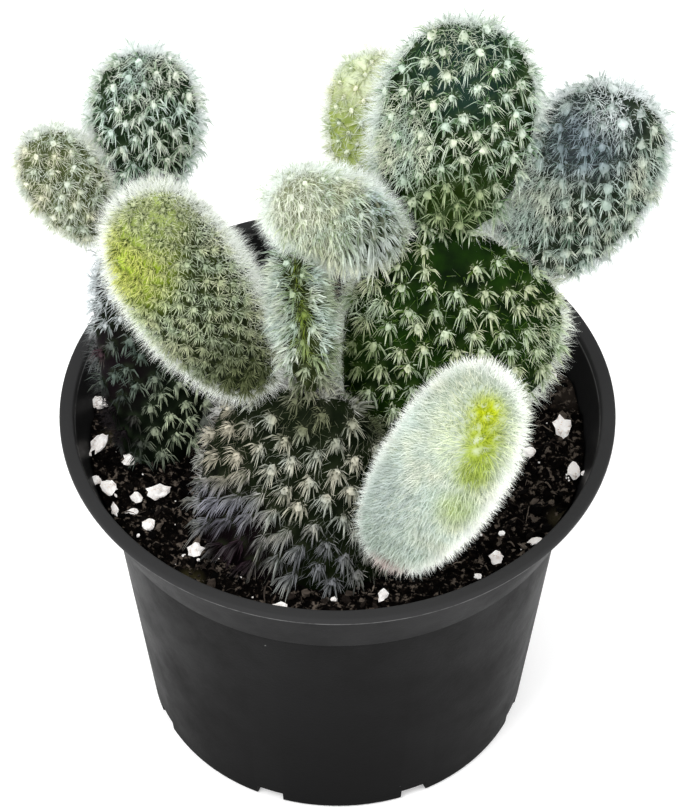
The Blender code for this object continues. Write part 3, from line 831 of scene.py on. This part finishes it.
        hairs(7000, 2.4, 0.1, lift=0.5, tint=0.2, near=(-30.4, 16, 125, 8))],
    fringe=hairs(6500, 3.8, 0.08, start=0.3)
), dict(
    pad=Pad("pad_rear_small", (-37.3, 9.5, 94.2), (-47.3, 13, 113.7), (0.1, -1, 0.4), 13.5, 8,
            square=0.85),
    spacing=2.7, knob=0.6, knob_tone=0.55,
    skin=((0.04, 0.052, 0.02), (0.09, 0.11, 0.04), (0.2, 0.23, 0.12)),
    wool=((0.98, 1, 0.89), (0.34, 0.4, 0.26), (0.88, 0.92, 0.88)),
    layers=[dome(32, 1.5, 1, 0.18), rays(20, 2.5, locks=10, lift=0.3)],
    coats=[hairs(1600, 2, lift=0.25, comb=(0, 0.4), tint=0)],
    fringe=hairs(5500, 3.4, 0.07, start=0.3)
)]


def make_plant():
    for seed, pad in enumerate(PADS, SEED + 1):
        make_pad(np.random.default_rng(seed), **pad)


# Pot

def turned(name, profile, steps):
    """A smooth turned mesh object about Z, from a profile of radius and height."""
    mesh = bpy.data.meshes.new(name)
    edges = [(i, i + 1) for i in range(len(profile) - 1)]
    mesh.from_pydata([(radius, 0.0, height) for radius, height in profile], edges, [])
    made = placed(name, mesh)
    screw = made.modifiers.new("turn", "SCREW")
    screw.axis = "Z"
    screw.angle = tau
    screw.steps = steps
    screw.render_steps = steps
    screw.use_merge_vertices = True
    screw.merge_threshold = 0.00001
    return made


def applied(thing):
    """Applies the object's modifiers to its mesh."""
    graph = bpy.context.evaluated_depsgraph_get()
    mesh = bpy.data.meshes.new_from_object(thing.evaluated_get(graph))
    thing.modifiers.clear()
    thing.data = mesh


def arc(centre, radius, start, end, steps=4):
    """Points of a rounded corner, angles in degrees."""
    angles = [radians(start + (end - start) * i / steps) for i in range(steps + 1)]
    return [(centre[0] + radius * cos(angle), centre[1] + radius * sin(angle)) for angle in angles]


def pot_material():
    """Satin black moulded plastic: a paler collar, the lip's top paler still as painted light,
    a pale broken line near the lip's lower edge, fine grain, dust and scuffs.
    """
    look = Look("black_plastic", 0.38, 0.014)
    dust = look.noise(75.0, 6.0, 0.7)
    color = look.ramp(dust, [(0.40, (0.0050, 0.0050, 0.0052)), (0.80, (0.0068, 0.0067, 0.0066))])
    step = POT_HEIGHT - COLLAR_DEPTH
    collar = look.remap(look.height(), step - 0.0004, step)
    color = look.mix(collar, color, (0.0130, 0.0130, 0.0133))
    # Painted light: the top of the lip is paler, where it faces up to the lamps.
    painted_light_lip = look.remap(look.height(), POT_HEIGHT - 0.0014, POT_HEIGHT - 0.0012)
    color = look.mix(painted_light_lip, color, (0.030, 0.030, 0.0305))
    # A pale broken line round the lip's outer face, near its lower edge.
    line_breaks = look.remap(look.noise(160.0, 4.0, 0.8), 0.36, 0.58, 0.1, 0.8)
    under_lip_line = look.near_height(POT_HEIGHT - LIP_DEPTH + 0.0003, 0.00022)
    color = look.mix(look.number("MULTIPLY", line_breaks, under_lip_line), color, (0.16, 0.16, 0.16))
    specks = look.remap(look.noise(640.0, 2.0, 0.4), 0.79, 0.82)
    color = look.mix(specks, color, (0.16, 0.16, 0.155))
    look.fill(look.shader, {"Roughness": look.remap(dust, 0.3, 0.8, 0.34, 0.52)})
    return look.done(color, look.noise(2200.0, 4.0), 0.10, 0.0002)


def make_pot():
    collar = POT_HEIGHT - COLLAR_DEPTH
    upper = POT_HEIGHT - LIP_ROUND
    lower = POT_HEIGHT - LIP_DEPTH + LIP_ROUND
    profile = [
        (0.0, FLOOR), (FOOT_RADIUS - WALL - 0.0006, FLOOR), (FOOT_RADIUS - WALL, FLOOR + 0.0008),
        (SHOULDER_RADIUS - WALL, collar - 0.0009), (COLLAR_RADIUS - WALL, collar + 0.0001),
        *arc((RIM_RADIUS - LIP_WIDTH, upper), LIP_ROUND, 170.0, 90.0),
        *arc((RIM_RADIUS - LIP_ROUND, upper), LIP_ROUND, 90.0, 0.0),
        *arc((RIM_RADIUS - LIP_ROUND, lower), LIP_ROUND, 0.0, -90.0),
        (RIM_RADIUS - LIP_WIDTH + 0.0005, POT_HEIGHT - LIP_DEPTH),
        *arc((COLLAR_RADIUS - 0.0005, collar + 0.0003), 0.0005, -15.0, -75.0),
        (SHOULDER_RADIUS + 0.0002, collar - 0.0003), (SHOULDER_RADIUS - 0.0001, collar - 0.0009),
        *arc((FOOT_RADIUS - 0.0004, 0.0006), 0.0006, 5.0, -90.0, 5), (0.0, 0.0),
    ]
    pot = turned("pot_shell", profile, POT_STEPS)
    cutters = [drain_slot(FIRST_SLOT + index * tau / SLOTS) for index in range(SLOTS)]
    for cutter in cutters:
        step = pot.modifiers.new("slot", "BOOLEAN")
        step.operation = "DIFFERENCE"
        step.solver = "EXACT"
        step.object = cutter
    applied(pot)
    for cutter in cutters:
        bpy.data.objects.remove(cutter)
    pot.data.shade_smooth()
    pot.data.set_sharp_from_angle(angle=radians(35.0))
    adopt(pot, pot_material())
    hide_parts("pot")


def drain_slot(angle):
    """A block that cuts one slot into the pot's lower corner."""
    mesh = bpy.data.meshes.new("slot")
    bar = bmesh.new()
    bmesh.ops.create_cube(bar, size=1.0)
    bar.to_mesh(mesh)
    bar.free()
    slot = placed("slot", mesh)
    reach = (SLOT_INNER + SLOT_OUTER) / 2.0
    slot.location = (reach * cos(angle), reach * sin(angle), 0.0)
    slot.rotation_euler.z = angle
    slot.scale = (SLOT_OUTER - SLOT_INNER, SLOT_WIDTH, 2.0 * SLOT_HEIGHT)
    return slot


# Potting mix

def soil_height(x, y):
    """Level of the mix, with its clods, crumbs and grains."""
    height = SOIL_LEVEL
    for rise, size in SOIL_NOISE:
        height += rise * noise.noise(Vector((x, y, 0.0)) / size)
    return height


def on_mix(spots):
    """Places at the mix's level, from their x and y."""
    return np.column_stack([spots, [soil_height(x, y) for x, y in spots]])


def soil_material():
    """Damp black peat with brown specks."""
    look = Look("peat", 0.85, 0.02)
    stops = [(0.45, (0.0008, 0.0006, 0.0006)), (0.60, (0.004, 0.003, 0.0024)),
             (0.74, (0.05, 0.036, 0.026))]
    color = look.patched(look.ramp(look.noise(620.0, 6.0, 0.75), stops), SOIL_PATCHES)
    bits = look.remap(look.noise(900.0, 4.0, 0.65), 0.54, 0.66)
    color = look.mix(bits, color, (0.13, 0.105, 0.085))
    return look.done(color, look.noise(1500.0, 6.0, 0.7), 0.9, 0.0006)


def crumb_material():
    """Peat crumbs and bark bits, each between black and tan by its own tone."""
    look = Look("crumbs", 0.80, 0.04)
    stops = [(0.10, (0.0012, 0.0010, 0.0010)), (0.50, (0.006, 0.0045, 0.0038)),
             (0.72, (0.038, 0.029, 0.024)), (0.92, (0.23, 0.19, 0.155))]
    grain = look.remap(look.noise(1800.0, 4.0, 0.7), 0.3, 0.7, 0.5, 1.0)
    color = look.mix(1.0, look.ramp(look.attribute("shade"), stops), grain, "MULTIPLY")
    return look.done(color, look.noise(3500.0, 4.0, 0.7), 0.8, 0.0003)


def perlite_material():
    """Expanded white perlite, pitted, with peat dust in its hollows, and a painted glow in its own
    colour that makes it bright white.
    """
    look = Look("perlite", 0.92, 0.2)
    stops = [(0.30, (0.22, 0.17, 0.14)), (0.44, (0.74, 0.70, 0.67)), (0.62, (0.94, 0.93, 0.91))]
    color = look.ramp(look.noise(900.0, 5.0, 0.75), stops)
    # Painted glow: the perlite gives out its own colour as light.
    look.fill(look.shader, {"Emission Color": color, "Emission Strength": 0.42})
    return look.done(color, look.noise(2400.0, 5.0, 0.75), 0.9, 0.0005)


def make_soil():
    collar = POT_HEIGHT - COLLAR_DEPTH
    clear = WALL + SOIL_GAP
    low = FLOOR + SOIL_GAP
    rings = [SOIL_RADIUS * (i / SOIL_RINGS) ** 0.8 for i in range(SOIL_RINGS + 1)]
    profile = [(radius, SOIL_LEVEL) for radius in rings]
    profile += [(COLLAR_RADIUS - clear, collar + 0.0002), (SHOULDER_RADIUS - clear, collar - 0.0010)]
    profile += [(FOOT_RADIUS - clear, low + 0.0008), (FOOT_RADIUS - clear - 0.0008, low), (0.0, low)]
    soil = turned("soil_surface", profile, SOIL_SPOKES)
    applied(soil)
    for vertex in soil.data.vertices:
        if vertex.co.z > SOIL_LEVEL - 0.0001:
            vertex.co.z = soil_height(vertex.co.x, vertex.co.y)
    soil.data.shade_smooth()
    adopt(soil, soil_material())
    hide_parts("soil")
    make_crumbs()
    make_perlite()


def random_axes(rng, count, tilt):
    """Sets of three axes, each turned at random and tilted by up to about tilt."""
    up = unit(rng.normal(0.0, tilt, (count, 3)) + [0.0, 0.0, 1.0])
    turn = rng.uniform(0.0, tau, count)
    level = np.stack([np.cos(turn), np.sin(turn), np.zeros(count)], 1)
    side = unit(np.cross(up, level))
    return np.stack([np.cross(side, up), side, up], 1)


def strewn(rng, count, inset):
    """Random places over the mix, evenly spread, each at the mix's level."""
    radius = (SOIL_RADIUS - inset) * np.sqrt(rng.random(count))
    turn = rng.uniform(0.0, tau, count)
    return on_mix(np.stack([radius * np.cos(turn), radius * np.sin(turn)], 1))


def make_crumbs():
    """Crumbs of peat and bark, with fibres that lie over them."""
    rng = np.random.default_rng(SEED)
    places = strewn(rng, CRUMBS, 0.0007)
    size = 0.00020 + 0.00052 * rng.random(CRUMBS) ** 1.8
    shape = rng.uniform(0.3, 1.8, (CRUMBS, 3))
    shape[:, 2] = rng.uniform(0.4, 0.9, CRUMBS)
    axes = random_axes(rng, CRUMBS, 0.4)
    points, triangles, each = lumps(rng, 1, places, axes, size[:, None] * shape, 0.42)
    tone = np.repeat(0.92 * rng.random(CRUMBS) ** 1.3, each)
    points, triangles, tone = joined([(points, triangles, tone), soil_fibres(rng)])
    mesh_piece("soil_crumbs", points, triangles, crumb_material(), "soil", shade=tone)


def soil_fibres(rng):
    """Thin bent fibres and straws, each a chain of three-sided joints."""
    starts = strewn(rng, FIBRES, 0.0030)
    heading = rng.uniform(0.0, tau, FIBRES)
    bend = rng.normal(0.0, 0.09, FIBRES)
    length = 0.0012 + 0.0042 * rng.random(FIBRES) ** 2
    width = 0.00011 + 0.00022 * rng.random(FIBRES) ** 2.5
    tone = 0.60 + 0.40 * rng.random(FIBRES) ** 1.5
    points = []
    for i, (x, y, _) in enumerate(starts):
        line = []
        for j in range(FIBRE_JOINTS):
            far = hypot(x, y)
            inward = min(far, SOIL_RADIUS - 0.0016) / max(far, 1e-9)
            arch = 0.0002 + 0.0005 * sin(pi * j / (FIBRE_JOINTS - 1))
            height = soil_height(x * inward, y * inward) + arch
            line.append(Vector((x * inward, y * inward, height)))
            x += cos(heading[i]) * length[i] / FIBRE_JOINTS
            y += sin(heading[i]) * length[i] / FIBRE_JOINTS
            heading[i] += bend[i]
        points += fibre_points(line, width[i])
    each = 3 * FIBRE_JOINTS
    pattern = [(2, 1, 0)]
    for low in range(0, each - 3, 3):
        for k in range(3):
            pattern += wall(low, k)
    pattern += [(each - 3, each - 2, each - 1)]
    return np.array(points), copies(pattern, FIBRES, each), np.repeat(tone, each)


def fibre_points(line, width):
    """Corners of a fibre's three-sided sections along a line, thinner at both ends."""
    points = []
    last = len(line) - 1
    for j, middle in enumerate(line):
        along = (line[min(j + 1, last)] - line[max(j - 1, 0)]).normalized()
        side = along.cross(Vector((0.0, 0.0, 1.0))).normalized()
        up = side.cross(along)
        thick = width * (0.5 if j in (0, last) else 1.0) / 2.0
        points += [middle + (side * cos(angle) + up * sin(angle)) * thick for angle in THIRDS]
    return points


def make_perlite():
    """The large white lumps where they lie, and small grit at random."""
    rng = np.random.default_rng(SEED + 50)
    table = np.array(PERLITE)
    x, y, length, width = MM * table[:, :4].T
    turn = np.radians(table[:, 4])
    level = np.zeros(len(table))
    along = np.stack([np.cos(turn), np.sin(turn), level], 1)
    side = np.stack([-np.sin(turn), np.cos(turn), level], 1)
    axes = np.stack([along, side, np.cross(along, side)], 1)
    sizes = np.stack([length, width, width * 0.9], 1) * 0.47
    places = on_mix(np.stack([x, y], 1))
    places[:, 2] += 0.25 * width
    big = lumps(rng, 2, places, axes, sizes, 0.34)
    grit = strewn(rng, GRIT, 0.0010) + [0.0, 0.0, 0.0002]
    size = 0.00012 + 0.00030 * rng.random(GRIT) ** 2
    shape = rng.uniform(0.6, 1.4, (GRIT, 3))
    small = lumps(rng, 1, grit, random_axes(rng, GRIT, 0.5), size[:, None] * shape, 0.25)
    points, triangles = joined([big[:2], small[:2]])
    mesh_piece("soil_perlite", points, triangles, perlite_material(), "soil")


# Staging

def make_floor():
    bpy.ops.mesh.primitive_plane_add(size=6.0, location=(0.0, 0.0, -0.0002))
    floor = bpy.context.object
    floor.name = "floor"
    look = Look("pale_floor", 0.9)
    glow = {"Emission Color": (1.0, 1.0, 1.0), "Emission Strength": 0.26}
    look.fill(look.shader, {"Base Color": (0.93, 0.93, 0.93), **glow})
    floor.data.materials.append(look.material)


def area_light(name, place, size, power):
    data = bpy.data.lights.new(name, "AREA")
    data.shape = "DISK"
    data.size = size
    data.energy = power
    light = placed(name, data)
    light.location = place
    aim = Vector((0.0, 0.0, POT_HEIGHT)) - Vector(place)
    light.rotation_euler = aim.to_track_quat("-Z", "Y").to_euler()


def make_light():
    world = bpy.data.worlds.new("studio")
    world.use_nodes = True
    sky = world.node_tree.nodes["Background"]
    sky.inputs["Color"].default_value = (1.0, 1.0, 1.0, 1.0)
    sky.inputs["Strength"].default_value = 1.10
    bpy.context.scene.world = world
    area_light("key", (-0.45, -0.55, 0.95), 0.50, 6.2)
    area_light("fill", (0.60, -0.30, 0.80), 0.70, 2.0)
    bpy.context.scene.view_settings.view_transform = "Standard"
    bpy.context.scene.view_settings.look = "None"


def make_camera():
    data = bpy.data.cameras.new("camera")
    data.sensor_fit = "HORIZONTAL"
    data.sensor_width = SENSOR
    data.lens = LENS_PX / IMAGE_WIDTH * SENSOR
    data.shift_x = -AIM_PX[0] / IMAGE_WIDTH
    data.shift_y = -AIM_PX[1] / IMAGE_WIDTH
    data.clip_start = 0.05
    data.clip_end = 20.0
    camera = placed("camera", data)
    back = Vector((0.0, -cos(VIEW_HEIGHT_ANGLE), sin(VIEW_HEIGHT_ANGLE)))
    camera.location = Vector((0.0, 0.0, POT_HEIGHT)) + back * VIEW_DISTANCE
    camera.rotation_euler = (-back).to_track_quat("-Z", "Y").to_euler()
    bpy.context.scene.camera = camera


make_camera()
make_pot()
make_soil()
make_plant()
make_floor()
make_light()
